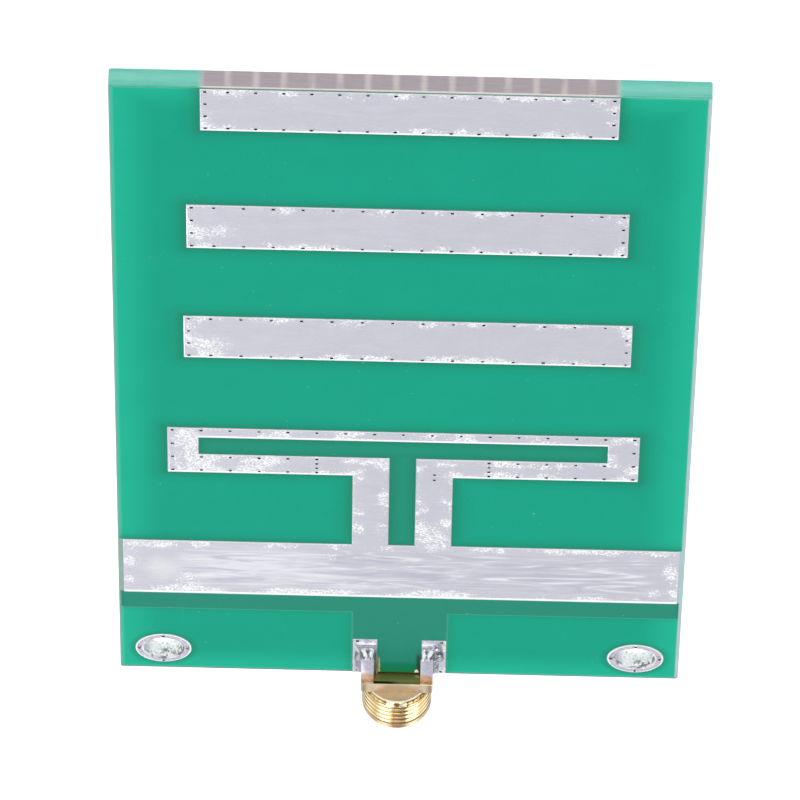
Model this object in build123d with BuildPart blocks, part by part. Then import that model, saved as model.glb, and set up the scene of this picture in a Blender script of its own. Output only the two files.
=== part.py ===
# Flat directional antenna: a printed board with a reflector strip, a folded dipole and three directors,
# and a threaded coaxial jack that straddles the board's near edge.
#
# Millimetres. The board lies front face up (+Z), its directors point along +Y and the jack opens along -Y.
# The origin is on the table, under the middle of the whole outline, and the jack's barrel reaches the table.
# Sketches of the board use its own frame: X from the board's centre line, Y from the edge with the jack.
import os

from build123d import *

os.makedirs("parts", exist_ok=True)

# Board layers
laminate_thickness = 1.6
board_corner = 0.3
copper_thickness = 0.07
mask_thickness = 0.03
mask_inset = 0.22  # bare laminate left round the board's edge
mask_shift = -0.1  # the mask is printed a little towards -X
mask_gap = 0.05  # from bare copper to the opening in the mask round it
artwork_shift = -0.02  # copper and holes sit almost in the middle of the board's outline
jack_shift = -0.19  # the jack sits a little towards -X
side_margin = 4.575  # from the dipole's ends to the board's side edges
copper_margin = 0.485  # from the reflector's ends to the board's side edges
end_margin = 0.3  # from the last director to the board's far edge

# Ground copper and reflector, counted from the jack's edge
ground_start = 11.15
ground_strip_width = 2.8
ground_column_width = 8.58
reflector_width = 9.4

# Folded dipole and the two-strip line that feeds it
line_length = 12.27
line_width = 3.18
line_gap = 2.4
dipole_span = 41.32
dipole_end_width = 2.69
lower_arm_width = 3.14
dipole_slot_height = 2.97
upper_arm_width = 1.64
rear_arm_gap = 14.3

# Directors: span across the board, width along it, gap to the element before, offset towards +X
first_director_span = 38.65
first_director_width = 7.0
first_director_gap = 12.14
first_director_offset = 0.2
second_director_span = 37.56
second_director_width = 7.08
second_director_gap = 11.4
third_director_span = 35.07
third_director_width = 6.61
third_director_gap = 12.1

# Plated vias, filled by the tinning down to a shallow six-sided dimple in the copper
via_radius = 0.19
via_sides = 6
via_inset = 0.42
via_end_step = 1.9
dimple_depth = 0.05
vias_per_director_row = 16
vias_per_end = 4
vias_per_upper_arm = 17
vias_per_lower_arm = 6
vias_per_pad = 3
feed_via_step = 0.9

# Mounting holes
hole_radius = 1.825
hole_pad_radius = 2.52
hole_via_circle = 2.18
hole_via_count = 4
hole_plating = 0.05
hole_side_inset = 3.935
hole_edge_inset = 3.63

# Solder pads at the jack's edge and the feed line on the rear face
pad_width = 2.2
pad_length = 6.2
pad_inset = 0.08
feed_width = 1.6
feed_mitre = 1.4
feed_jog = 18.0
feed_pad_width = 2.2
feed_pad_length = 3.2
feed_edge_gap = 0.4

# Jack body
flange_width = 6.5
flange_thickness = 1.55
flange_corner = 0.2
flange_gap = 0.05  # from the board's edge to the flange
leg_width = 1.13
leg_thickness = 1.1
leg_length = 4.55
leg_chamfer = 0.12
neck_radius = 2.75
neck_length = 0.55
thread_radius = 3.175
thread_length = 4.28
mouth_chamfer = 0.25
neck_chamfer = 0.2
mouth_radius = 2.3
mouth_depth = 1.93
rear_wall = 0.4
window_width = 1.5
window_height = 0.9
window_corner = 0.3

# Insulator and centre contact
insulator_radius = 2.055
insulator_tail_radius = 1.6  # inside the flange, which is cut down close to the bore
insulator_shoulder = 0.3  # wall left between the flange's front and the wide bore
contact_radius = 0.635
contact_length = 3.2
socket_radius = 0.47
socket_depth = 2.6
contact_slot_width = 0.12
contact_slot_depth = 1.9
contact_slots = 4
tab_width = 0.8
tab_thickness = 0.25
tab_reach = 2.6
tab_step = 0.35

# Solder joints
solder_side = 0.6
solder_toe = 0.55
solder_climb = 0.75
solder_crest = 0.06
tab_solder_side = 0.4
tab_solder_climb = 0.2
tab_solder_crest = 0.05

# Places that follow from the sizes
reflector_start = ground_start + ground_strip_width
line_start = reflector_start + reflector_width
dipole_start = line_start + line_length
slot_start = dipole_start + lower_arm_width
slot_end = slot_start + dipole_slot_height
dipole_end = slot_end + upper_arm_width
first_director_start = dipole_end + first_director_gap
second_director_start = first_director_start + first_director_width + second_director_gap
third_director_start = second_director_start + second_director_width + third_director_gap
board_length = third_director_start + third_director_width + end_margin
board_width = dipole_span + 2 * side_margin
reflector_span = board_width - 2 * copper_margin
slot_span = dipole_span - 2 * dipole_end_width
line_offset = (line_gap + line_width) / 2
hole_offset = board_width / 2 - hole_side_inset
pad_offset = (ground_column_width - pad_width) / 2 - pad_inset

jack_length = flange_thickness + neck_length + thread_length
overall_length = board_length + flange_gap + jack_length
edge_y = flange_gap + jack_length - overall_length / 2
axis_z = thread_radius
front_z = axis_z + laminate_thickness / 2
rear_z = axis_z - laminate_thickness / 2
slot_half_height = laminate_thickness / 2 + copper_thickness + mask_thickness
flange_height = 2 * (slot_half_height + leg_thickness)
leg_offset = (flange_width - leg_width) / 2
tab_height = laminate_thickness / 2 + copper_thickness + tab_thickness / 2
tab_low = -tab_height - tab_thickness / 2
reference_plane = jack_length - mouth_depth
wide_bore_start = flange_thickness + insulator_shoulder
contact_end = reference_plane - contact_length

board_faces = {"front": (front_z, 1), "rear": (rear_z, -1)}
board_sides = {"left": -1, "right": 1}
directors = (
    (first_director_span, first_director_width, first_director_start, first_director_offset),
    (second_director_span, second_director_width, second_director_start, 0),
    (third_director_span, third_director_width, third_director_start, 0),
)
jack_plane = Plane((jack_shift, edge_y - flange_gap, axis_z), x_dir=(1, 0, 0), z_dir=(0, -1, 0))
side_plane = Plane(jack_plane.origin, x_dir=(0, -1, 0), z_dir=(-1, 0, 0))


def save(piece, name):
    """Labels a finished piece and writes it under its own name."""
    piece.label = name
    export_step(piece, f"parts/{name}.step")


def board_plane(face, lift=0.0):
    """The board's own frame on one of its faces, lifted outwards from it."""
    level, outward = board_faces[face]
    return Plane((0, edge_y, level + outward * lift))


def evenly(low, high, count):
    """Values spread evenly from low to high, both included."""
    return [low + (high - low) * step / (count - 1) for step in range(count)]


def block(left, right, near, far, mode=Mode.ADD):
    """A rectangle of the current sketch, given by its four sides."""
    with Locations(((left + right) / 2, (near + far) / 2)):
        Rectangle(right - left, far - near, mode=mode)


def mirrored_blocks(inner, outer, near, far, mode=Mode.ADD):
    """Two like rectangles, one each side of the artwork's centre line."""
    for side in board_sides.values():
        left, right = sorted((side * inner, side * outer))
        block(artwork_shift + left, artwork_shift + right, near, far, mode)


def grown(outline):
    """An outline with the mask's gap or wall added all round, corners kept square."""
    return offset(outline, amount=mask_gap, kind=Kind.INTERSECTION, mode=Mode.PRIVATE)


def via_dimple(face):
    """The hollow that a filled via leaves in the copper: a shallow pyramid that points into the board."""
    outward = board_faces[face][1]
    with BuildPart() as dimple:
        with BuildSketch() as mouth:
            RegularPolygon(via_radius, via_sides)
        loft([mouth.face(), Vertex(0, 0, -outward * dimple_depth)])
    return dimple.part


dimples = {face: via_dimple(face) for face in board_faces}


def foil(face, outline, vias):
    """A flat conductor on one face of the board, with the dimple of each plated via."""
    outward = board_faces[face][1]
    surface = board_plane(face, copper_thickness)
    with BuildPart() as conductor:
        with BuildSketch(board_plane(face)):
            add(outline)
        extrude(amount=outward * copper_thickness)
        with Locations(*[surface * Location((x, y)) for x, y in vias]):
            add(dimples[face], mode=Mode.SUBTRACT)
    return conductor.part


def director_outline(span, width, start, shift):
    """The bare strip of one director."""
    with BuildSketch() as outline:
        with Locations((artwork_shift + shift, start + width / 2)):
            Rectangle(span, width)
    return outline.sketch


def director_vias(span, width, start, shift):
    """Two rows along a director, with a short step at each end, and the vias that close its ends."""
    reach = span / 2 - via_inset
    inner_reach = reach - via_end_step
    across = [-reach, *evenly(-inner_reach, inner_reach, vias_per_director_row - 2), reach]
    along = evenly(start + via_inset, start + width - via_inset, vias_per_end)
    rows = [(x, y) for x in across for y in (along[0], along[-1])]
    ends = [(x, y) for x in (-reach, reach) for y in along[1:-1]]
    return [(x + artwork_shift + shift, y) for x, y in rows + ends]


def dipole_vias():
    """The vias that follow the folded dipole's loop: upper arm, ends and both lower arms."""
    reach = dipole_span / 2 - via_inset
    arm_end = rear_arm_gap / 2 + via_inset
    arm_rows = evenly(dipole_start + via_inset, slot_start - via_inset, vias_per_end)
    upper_row = dipole_end - via_inset
    spots = [(x, upper_row) for x in evenly(-reach, reach, vias_per_upper_arm)]
    for side in board_sides.values():
        spots += [(side * reach, y) for y in evenly(arm_rows[0], upper_row, vias_per_end)[1:-1]]
        along_arm = evenly(side * arm_end, side * reach, vias_per_lower_arm)
        spots += [(x, arm_rows[0]) for x in along_arm]
        spots += [(x, arm_rows[-1]) for x in along_arm[:-1]]
        spots += [(side * arm_end, y) for y in arm_rows[1:-1]]
    return [(x + artwork_shift, y) for x, y in spots]


def pad_vias():
    """The vias down the outer side of each solder pad, which join its front and rear copper."""
    rows = evenly(via_inset, pad_length - via_inset, vias_per_pad)
    offset_x = pad_offset + pad_width / 2 - via_inset
    return {name: [(artwork_shift + side * offset_x, y) for y in rows] for name, side in board_sides.items()}


def hole_outlines(radius):
    """A circle at each mounting hole."""
    with BuildSketch() as outline:
        for side in board_sides.values():
            with Locations((artwork_shift + side * hole_offset, hole_edge_inset)):
                Circle(radius)
    return outline.sketch


def pad_outlines():
    """The two bare solder pads, one under each pair of the jack's legs."""
    with BuildSketch() as outline:
        mirrored_blocks(pad_offset - pad_width / 2, pad_offset + pad_width / 2, 0, pad_length)
    return outline.sketch


# Outlines shared by copper and mask
with BuildSketch() as ground:
    with Locations((artwork_shift, (ground_start + reflector_start) / 2)):
        Rectangle(reflector_span, ground_strip_width)
    with Locations((artwork_shift, reflector_start / 2)):
        Rectangle(ground_column_width, reflector_start)

with BuildSketch() as driven:
    with Locations((artwork_shift, (reflector_start + line_start) / 2)):
        Rectangle(reflector_span, reflector_width)
    mirrored_blocks(line_gap / 2, line_gap / 2 + line_width, line_start, slot_start)
    with Locations((artwork_shift, (dipole_start + dipole_end) / 2)):
        Rectangle(dipole_span, dipole_end - dipole_start)
    with Locations((artwork_shift, (slot_start + slot_end) / 2)):
        Rectangle(slot_span, dipole_slot_height, mode=Mode.SUBTRACT)
    with Locations((artwork_shift, (line_start + slot_start) / 2)):
        Rectangle(line_gap, slot_start - line_start, mode=Mode.SUBTRACT)

with BuildSketch() as reflector_window:
    block(-board_width / 2, board_width / 2, reflector_start, line_start)

with BuildSketch() as rear_loop:
    with Locations((artwork_shift, (dipole_start + dipole_end) / 2)):
        Rectangle(dipole_span, dipole_end - dipole_start)
    with Locations((artwork_shift, (slot_start + slot_end) / 2)):
        Rectangle(slot_span, dipole_slot_height, mode=Mode.SUBTRACT)
    with Locations((artwork_shift, (dipole_start + slot_start) / 2)):
        Rectangle(rear_arm_gap, lower_arm_width, mode=Mode.SUBTRACT)

feed_pad_left, feed_pad_right = jack_shift - feed_pad_width / 2, jack_shift + feed_pad_width / 2
feed_pad_end = feed_edge_gap + feed_pad_length
with BuildSketch() as feed_pad:
    block(feed_pad_left, feed_pad_right, feed_edge_gap, feed_pad_end)

with BuildSketch() as feed_window:
    block(feed_pad_left, feed_pad_right, 0, feed_pad_end)

# The feed line leaves the jack's tab, steps under the left strip, runs up it and crosses to the right strip
feed_column = artwork_shift - line_offset
feed_half_step = (jack_shift - feed_column) / 2
feed_end = artwork_shift + line_offset + feed_width / 2
with BuildSketch() as feed:
    with BuildLine():
        Polyline(
            (jack_shift, feed_edge_gap + feed_pad_length / 2),
            (jack_shift, feed_jog - feed_half_step),
            (feed_column, feed_jog + feed_half_step),
            (feed_column, dipole_start - feed_mitre),
            (feed_column + feed_mitre, dipole_start),
            (feed_end, dipole_start),
        )
    trace(line_width=feed_width)
    add(feed_pad.sketch)

director_outlines = [director_outline(*director) for director in directors]
pads = pad_outlines()
feed_vias = [(artwork_shift + line_offset, dipole_start + side * feed_via_step / 2) for side in (-1, 1)]

# Laminate
with BuildPart() as laminate:
    with BuildSketch(board_plane("rear")):
        with Locations((0, board_length / 2)):
            RectangleRounded(board_width, board_length, board_corner)
        add(hole_outlines(hole_radius + hole_plating), mode=Mode.SUBTRACT)
    extrude(amount=laminate_thickness)
save(laminate.part, "laminate")

# Copper of the front face: ground, reflector, two-strip line and folded dipole are one etched piece
with BuildSketch() as front_copper:
    add(ground.sketch)
    add(driven.sketch)
front_vias = sum(pad_vias().values(), dipole_vias() + feed_vias)
save(foil("front", front_copper.sketch, front_vias), "front_dipole")

# Copper of the rear face
save(foil("rear", rear_loop.sketch, dipole_vias()), "rear_dipole")
save(foil("rear", feed.sketch, feed_vias), "rear_feed_line")
for name, side in board_sides.items():
    with BuildSketch() as rear_pad:
        with Locations((artwork_shift + side * pad_offset, pad_length / 2)):
            Rectangle(pad_width, pad_length)
    save(foil("rear", rear_pad.sketch, pad_vias()[name]), f"rear_pad_{name}")

# Directors, one strip on each face
for number, director in enumerate(directors, start=1):
    for face in board_faces:
        strip = foil(face, director_outlines[number - 1], director_vias(*director))
        save(strip, f"director_{number}_{face}")

# Plated mounting holes: a pad on each face joined by the barrel through the laminate
for name, side in board_sides.items():
    centre = (artwork_shift + side * hole_offset, edge_y + hole_edge_inset, axis_z)
    wall_half = laminate_thickness / 2
    pad_top = wall_half + copper_thickness
    with BuildPart() as hole_ring:
        with BuildSketch(Plane(centre, x_dir=(1, 0, 0), z_dir=(0, -1, 0))):
            block(hole_radius, hole_pad_radius, -pad_top, pad_top)
            block(hole_radius + hole_plating, hole_pad_radius, -wall_half, wall_half, Mode.SUBTRACT)
        revolve(axis=Axis(centre, (0, 0, 1)))
        for face, (_, outward) in board_faces.items():
            with Locations(Plane(centre).offset(outward * pad_top)):
                with PolarLocations(hole_via_circle, hole_via_count):
                    add(dimples[face], mode=Mode.SUBTRACT)
    save(hole_ring.part, f"hole_ring_{name}")


def solder_mask(face, bare, covered, windows):
    """One coat of mask: flat on the laminate, open round bare copper, and raised where it covers copper."""
    outward = board_faces[face][1]
    with BuildSketch() as coat:
        with Locations((mask_shift, board_length / 2)):
            Rectangle(board_width - 2 * mask_inset, board_length - 2 * mask_inset)
        for outline in bare:
            add(grown(outline), mode=Mode.SUBTRACT)
        add(hole_outlines(hole_pad_radius + mask_gap), mode=Mode.SUBTRACT)
        for outline in windows:
            add(outline, mode=Mode.SUBTRACT)
    with BuildSketch() as ridge:
        add(coat.sketch)
        add(grown(covered), mode=Mode.INTERSECT)
    with BuildPart() as mask:
        with BuildSketch(board_plane(face)):
            add(coat.sketch)
            add(grown(covered), mode=Mode.SUBTRACT)
        extrude(amount=outward * mask_thickness)
        with BuildSketch(board_plane(face)):
            add(ridge.sketch)
        extrude(amount=outward * (copper_thickness + mask_thickness))
        with BuildSketch(board_plane(face)):
            add(covered)
        extrude(amount=outward * copper_thickness, mode=Mode.SUBTRACT)
    save(mask.part, f"{face}_solder_mask")


front_bare = [driven.sketch, reflector_window.sketch, *director_outlines]
solder_mask("front", front_bare, ground.sketch, [pads])
solder_mask("rear", [rear_loop.sketch, pads, *director_outlines], feed.sketch, [feed_window.sketch])

# Jack body, turned and milled from one bar: flange, threaded barrel and the four legs that hold the board
with BuildPart() as jack_body:
    with BuildSketch(jack_plane):
        RectangleRounded(flange_width, flange_height, flange_corner)
    extrude(amount=flange_thickness)
    with BuildSketch(jack_plane.offset(flange_thickness)):
        Circle(neck_radius)
    extrude(amount=neck_length)
    with BuildSketch(jack_plane.offset(flange_thickness + neck_length)):
        Circle(thread_radius)
    extrude(amount=thread_length)
    rims = jack_body.edges().filter_by(GeomType.CIRCLE).group_by(SortBy.RADIUS)[-1]
    mouth_rim, neck_rim = rims.sort_by(Axis.Y)
    chamfer(mouth_rim, length=mouth_chamfer)
    chamfer(neck_rim, length=neck_chamfer)
    with BuildSketch(jack_plane.offset(jack_length)):
        Circle(mouth_radius)
    extrude(amount=-mouth_depth, mode=Mode.SUBTRACT)
    with BuildSketch(jack_plane.offset(wide_bore_start)):
        Circle(insulator_radius)
    extrude(amount=jack_length - wide_bore_start, mode=Mode.SUBTRACT)
    with BuildSketch(jack_plane.offset(rear_wall)):
        Circle(insulator_tail_radius)
    extrude(amount=wide_bore_start - rear_wall, mode=Mode.SUBTRACT)
    with BuildSketch(jack_plane):
        with Locations((0, -tab_height)):
            RectangleRounded(window_width, window_height, window_corner)
    extrude(amount=rear_wall, mode=Mode.SUBTRACT)
    with BuildSketch(jack_plane):
        with GridLocations(2 * leg_offset, 2 * (slot_half_height + leg_thickness / 2), 2, 2):
            Rectangle(leg_width, leg_thickness)
    extrude(amount=-leg_length)
    leg_ends = jack_body.faces().group_by(Axis.Y)[-1]
    chamfer(leg_ends.edges(), length=leg_chamfer)
save(jack_body.part, "jack_body")

# Centre contact: a slotted socket on the jack's axis, and a flat tab that steps down to lie on the feed line
with BuildSketch() as tab_profile:
    block(contact_end - tab_step, contact_end, tab_low, contact_radius - tab_thickness)
    block(-tab_reach, contact_end, tab_low, tab_low + tab_thickness)

with BuildPart() as centre_contact:
    with BuildSketch(jack_plane.offset(contact_end)):
        Circle(contact_radius)
    extrude(amount=contact_length)
    with BuildSketch(jack_plane.offset(reference_plane)):
        Circle(socket_radius)
    extrude(amount=-socket_depth, mode=Mode.SUBTRACT)
    with BuildSketch(jack_plane.offset(reference_plane)):
        with PolarLocations(contact_radius, contact_slots):
            Rectangle(contact_radius, contact_slot_width)
    extrude(amount=-contact_slot_depth, mode=Mode.SUBTRACT)
    with BuildSketch(side_plane):
        add(tab_profile.sketch)
    extrude(amount=tab_width / 2, both=True)
save(centre_contact.part, "centre_contact")

# Insulator: a stepped plug that fills the bore behind the reference plane, with a nose in the rear window
with BuildPart() as jack_insulator:
    with BuildSketch(jack_plane.offset(wide_bore_start)):
        Circle(insulator_radius)
    extrude(amount=reference_plane - wide_bore_start)
    with BuildSketch(jack_plane.offset(rear_wall)):
        Circle(insulator_tail_radius)
    extrude(amount=wide_bore_start - rear_wall)
    with BuildSketch(jack_plane):
        with Locations((0, -tab_height)):
            RectangleRounded(window_width, window_height, window_corner)
    extrude(amount=rear_wall)
    with BuildSketch(jack_plane.offset(contact_end)):
        Circle(contact_radius)
    extrude(amount=contact_length, mode=Mode.SUBTRACT)
    with BuildSketch(side_plane):
        add(tab_profile.sketch)
    extrude(amount=tab_width / 2, both=True, mode=Mode.SUBTRACT)
save(jack_insulator.part, "jack_insulator")

# Solder round each leg: it films the gap under the leg and climbs its sides and end from the bare pad
for face in board_faces:
    for name, side in board_sides.items():
        pad_inner = artwork_shift + side * (pad_offset - pad_width / 2)
        leg_inner = jack_shift + side * (leg_offset - leg_width / 2)
        leg_outer = jack_shift + side * (leg_offset + leg_width / 2)
        crest_inner = side * max(side * pad_inner, side * leg_inner)
        leg_end = leg_length - flange_gap
        with BuildPart() as leg_solder:
            with BuildSketch(board_plane(face, copper_thickness)):
                block(*sorted((pad_inner, leg_outer + side * solder_side)), 0, leg_end + solder_toe)
            with BuildSketch(board_plane(face, solder_climb)):
                block(*sorted((crest_inner, leg_outer + side * solder_crest)), 0, leg_end + solder_crest)
            loft()
            add(jack_body.part, mode=Mode.SUBTRACT)
        save(leg_solder.part, f"leg_solder_{face}_{name}")

# Solder round the centre contact's tab on the feed line's pad
tab_end = tab_reach - flange_gap
with BuildPart() as tab_solder:
    with BuildSketch(board_plane("rear", copper_thickness)):
        reach = tab_width / 2 + tab_solder_side
        block(jack_shift - reach, jack_shift + reach, feed_edge_gap, tab_end + tab_solder_side)
    with BuildSketch(board_plane("rear", copper_thickness + tab_solder_climb)):
        reach = tab_width / 2 + tab_solder_crest
        block(jack_shift - reach, jack_shift + reach, feed_edge_gap, tab_end + tab_solder_crest)
    loft()
    add(centre_contact.part, mode=Mode.SUBTRACT)
save(tab_solder.part, "tab_solder")
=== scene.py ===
# Looks of the flat directional antenna: tinned copper on a green board, a gilt coaxial jack and its solder.
# Blender units are metres. Patterns are laid out in millimetres from the middle of the board's jack edge.
import math

import bmesh
import bpy
from mathutils import Matrix, Vector, noise


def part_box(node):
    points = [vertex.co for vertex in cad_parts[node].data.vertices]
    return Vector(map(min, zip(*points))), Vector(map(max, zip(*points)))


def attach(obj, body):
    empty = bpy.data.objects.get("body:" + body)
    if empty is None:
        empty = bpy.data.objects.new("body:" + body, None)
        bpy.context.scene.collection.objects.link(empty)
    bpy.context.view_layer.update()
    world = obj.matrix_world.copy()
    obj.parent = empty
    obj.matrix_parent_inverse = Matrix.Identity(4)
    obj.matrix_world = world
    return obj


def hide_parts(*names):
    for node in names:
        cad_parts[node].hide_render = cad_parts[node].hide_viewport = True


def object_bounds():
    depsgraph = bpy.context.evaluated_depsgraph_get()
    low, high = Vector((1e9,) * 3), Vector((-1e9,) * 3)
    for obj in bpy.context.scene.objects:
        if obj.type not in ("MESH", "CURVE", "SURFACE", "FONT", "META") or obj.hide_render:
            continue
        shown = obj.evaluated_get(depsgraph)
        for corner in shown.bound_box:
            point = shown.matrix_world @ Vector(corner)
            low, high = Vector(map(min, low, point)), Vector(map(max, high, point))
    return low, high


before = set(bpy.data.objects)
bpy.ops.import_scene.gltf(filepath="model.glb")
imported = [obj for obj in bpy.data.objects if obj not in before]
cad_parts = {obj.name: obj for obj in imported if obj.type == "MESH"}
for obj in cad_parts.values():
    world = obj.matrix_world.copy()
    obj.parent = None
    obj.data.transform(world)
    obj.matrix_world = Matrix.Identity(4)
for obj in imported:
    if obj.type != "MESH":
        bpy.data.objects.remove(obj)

cad_low, cad_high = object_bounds()
MM = 0.001

# Places read from the frame
board_low, board_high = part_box("laminate")
jack_low, jack_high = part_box("jack_body")
front_level = board_high.z
rear_level = board_low.z
edge_y = board_low.y
axis_z = (front_level + rear_level) / 2
board_width = (board_high.x - board_low.x) / MM
board_length = (board_high.y - board_low.y) / MM
board_thickness = (front_level - rear_level) / MM

# Copper and mask, in millimetres from the jack edge and the board's centre line
COPPER = 0.07
ARTWORK_SHIFT = -0.02
GROUND_START = 11.15
REFLECTOR_START = 13.95
LINE_START = 23.35
SLOT_START = 38.76
SLOT_END = 41.73
SLOT_HALF_SPAN = 17.97
COLUMN_HALF_WIDTH = 4.29
LINE_OUTER_HALF_WIDTH = 4.38
LINE_GAP_HALF_WIDTH = 1.2
GROUND_MARGIN = 0.3  # by which the covered ground strip is wider than the reflector
OVERLAP = 1.0  # of rectangles that make one shape, so that no outline shows between them
LOWER_ROLL = 0.3  # width of the roll of tin along the edges that face the jack, which carries a painted highlight
UPPER_ROLL = 0.16
SHOULDER_STEPS = ((0.05, 0.03), (0.06, 0.018), (0.08, 0.008))  # inset of each ring, drop of the one outside

# Vias, in millimetres
DIMPLE_DEPTH = 0.05
VIA_RIM_RADIUS = 0.185
VIA_RIM_TUBE = 0.032
VIA_BOWL_DEPTH = 0.03
VIA_STEPS = 14
VIA_TUBE_STEPS = 6
VIA_SIZES = (0.88, 1.08)  # the smallest and the largest scale
VIA_SEED = 7
HOLE_VIA_LIFT = 0.03  # how far the vias round a mounting hole stand above their dimples

# Jack, in millimetres along the barrel
FLANGE_GAP = 0.05
FLANGE = 1.55
FLANGE_TOP = 1.1  # above the board's front
NECK_RADIUS = 2.92
NECK_LENGTH = 0.5
THREAD_ROOT = 2.83
THREAD_PITCH = 0.7056
THREAD_PHASE = 0.136
THREAD_END = 3.72  # from here to the mouth the barrel is plain
THREAD_FLANK = (0.06, 0.52)  # the ends of a turn's flank, in halves of the pitch from a groove's middle
THREAD_STEPS = 220
SHADE_BAND_OFFSET = 0.3  # how far beside the jack's axis the band of painted shade along the thread stands
MOUTH_CHAMFER = 0.25
MOUTH_RADIUS = 2.3
MOUTH_DEPTH = 1.93
LIP_ROUNDING = 0.08
INSULATOR_RADIUS = 2.055
INSULATOR_TAIL_RADIUS = 1.6
INSULATOR_SHOULDER = 0.3
TINNED_FROM = 1.65  # the legs' gilding is covered by solder from here on, counted from the board's edge
GLINTS = (-0.56, 0.61)  # painted highlights as bright spots on the thread's first turn, counted from the jack's axis
FLANGE_BEVEL = 0.09
ROUND_STEPS = 120

# Runs of solder at a leg: places counted outwards from the jack's axis, from the board's edge and up from the
# board, with their half sizes
LEG_LOBES = (
    (2.93, 4.6, 0.66, (0.28, 0.2, 0.66)),
    (2.38, 4.6, 0.68, (0.2, 0.2, 0.64)),
    (3.3, 2.7, 0.1, (0.6, 1.9, 0.34)),
)
SPREAD_LOBE = (3.7, 2.7, 0.05, (0.5, 2.1, 0.22))  # on the right pad only
OUTER_STROKE = (3.2, 2.75)  # where the outer painted highlight stands at its foot and at its top
INNER_STROKE = 2.4
LOBE_LEAN = 18.0  # degrees, towards the jack
LEG_OUTSIDE = 3.2  # beyond this the solder thins out towards the board's edge
FILLET_END = 1.6
FILLET_FOOT = 0.12  # share of the solder's height that is left at the board's edge
JOINT_VOXEL = 0.04
SOLDER_LUMPS = ((2.2, 0.04), (6.0, 0.012))  # scale and height of each wave of noise in the surface
SMOOTH_SHARE = 0.25  # of those heights, everywhere but on the right pad

flange_front_y = edge_y - (FLANGE_GAP + FLANGE) * MM
barrel_length = (flange_front_y - jack_low.y) / MM
jack_x = (jack_low.x + jack_high.x) / 2

# Plated holes
HOLE_RADIUS = 1.825
HOLE_PAD_RADIUS = 2.52
HOLE_OFFSET = 21.3
HOLE_EDGE_INSET = 3.63
HOLE_WALL = 0.05  # thickness of the copper in a hole
HOLE_WALL_STEPS = 24
HOLE_ROUNDINGS = (0.06, 0.07)  # of the pad's outer and inner edges
HOLE_LUMPS = ((1.6, 0.05), (4.5, 0.03))  # scale and height of each wave of noise in the wall

# Where the hot blast brushed the reflector's tin into ripples with painted sheen, where it froze smooth, and
# where it froze in white grains with painted sparkle: each patch by its middle and its reach
RIPPLE_SHEEN_FROM = (-20.4, -18.6)
RIPPLE_SHEEN_TO = (23.4, 20.6)
CALM_PATCH = (-21.3, 18.5, 2.3, 3.2)
SHEEN_PATCH = (-13.0, 18.9, 9.0, 4.6)
FROSTED_PATCHES = (
    (-19.0, 16.4, 2.0, 2.6), (-18.8, 14.5, 5.0, 1.3), (-21.8, 22.5, 3.4, 1.2), (2.6, 25.2, 1.9, 4.2),
    (22.7, 15.8, 1.3, 1.4), (23.9, 19.6, 1.0, 2.6), (-6.4, 20.9, 1.6, 1.4), (16.0, 23.0, 5.0, 0.9),
    (-17.8, 37.6, 3.4, 2.6), (-12.6, 37.3, 3.2, 1.7), (-4.4, 38.1, 1.7, 0.9), (-19.0, 41.2, 1.6, 3.2),
    (-8.0, 14.6, 7.0, 1.1), (3.0, 14.8, 4.0, 1.3),
)
BAR_END_PATCH = (2.4, -0.7, 3.6, 2.4)  # at the left end of the first two directors

# Resin and solder left beside the legs, together with painted shade and the painted reflection of the gilt
# legs, counted from the jack's axis and from the board's edge. A line has its shade, its place with an outer
# and an inner half width, where it ends and where it is full, and its strength.
FLUX_OFFSET = 1.86
FLUX_LENGTH = 3.1
RESIN_AND_SHADE_LINES = (
    ((140, 132, 74), -FLUX_OFFSET, 0.3, 0.14, FLUX_LENGTH + 0.4, FLUX_LENGTH - 0.4, 0.75),
    ((206, 198, 130), 0.24 - FLUX_OFFSET, 0.09, 0.03, FLUX_LENGTH, FLUX_LENGTH - 0.8, 0.8),
    ((52, 62, 34), FLUX_OFFSET + 0.06, 0.34, 0.1, FLUX_LENGTH + 0.9, FLUX_LENGTH - 0.2, 0.8),
)
DROPLET = (1.56, 0.1, 0.3, 0.95)

# The row of vias along a director
VIA_ROW_INSET = 2.32
VIA_ROW_STEPS = 13

# The studio, in metres: its brightness at the horizon, higher up and overhead, its tint, and the area lights,
# each with its place, its size and its power
SKY_LEVELS = (1.15, 0.78, 0.4)
SKY_TINT = (0.985, 0.985, 1.0)
SOFTBOXES = (
    ("overhead_softbox", (-0.12, 0.12, 1.4), 0.8, 10.0),
    ("left_panel", (-0.345, -1.0, 0.43), 0.3, 1.7),
    ("right_panel", (0.44, -1.02, 0.31), 0.32, 1.7),
)
TABLE_SIZE = 4.0
TABLE_GREY = 0.5
TABLE_GLOW = 0.9

# The camera fitted to the photo: angles in degrees, aim in millimetres from the board's middle and jack edge
CAMERA_AZIMUTH = 179.823
CAMERA_ELEVATION = 30.267
CAMERA_ROLL = -178.586
CAMERA_DISTANCE = 1.04752
CAMERA_AIM = (-0.382, 48.911)
CAMERA_LENS = 541.47
CAMERA_SENSOR = 36.0
CAMERA_CLIP = (0.01, 20.0)


# Helpers for meshes

def linked(name, bm, *materials):
    """A new object in the scene from a finished bmesh."""
    mesh = bpy.data.meshes.new(name)
    bm.to_mesh(mesh)
    bm.free()
    for made in materials:
        mesh.materials.append(made)
    piece = bpy.data.objects.new(name, mesh)
    bpy.context.scene.collection.objects.link(piece)
    return piece


def settle(piece, slot, *nodes):
    """Puts a finished piece on the one body and hides the CAD nodes that it stands for; the slot is not used.
    """
    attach(piece, "root")
    if nodes:
        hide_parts(*nodes)


def merged_copy(node):
    """A bmesh of a CAD node with its loose triangles joined."""
    bm = bmesh.new()
    bm.from_mesh(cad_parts[node].data)
    for face in bm.faces:
        face.material_index = 0
    bmesh.ops.remove_doubles(bm, verts=bm.verts, dist=0.001 * MM)
    return bm


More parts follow.
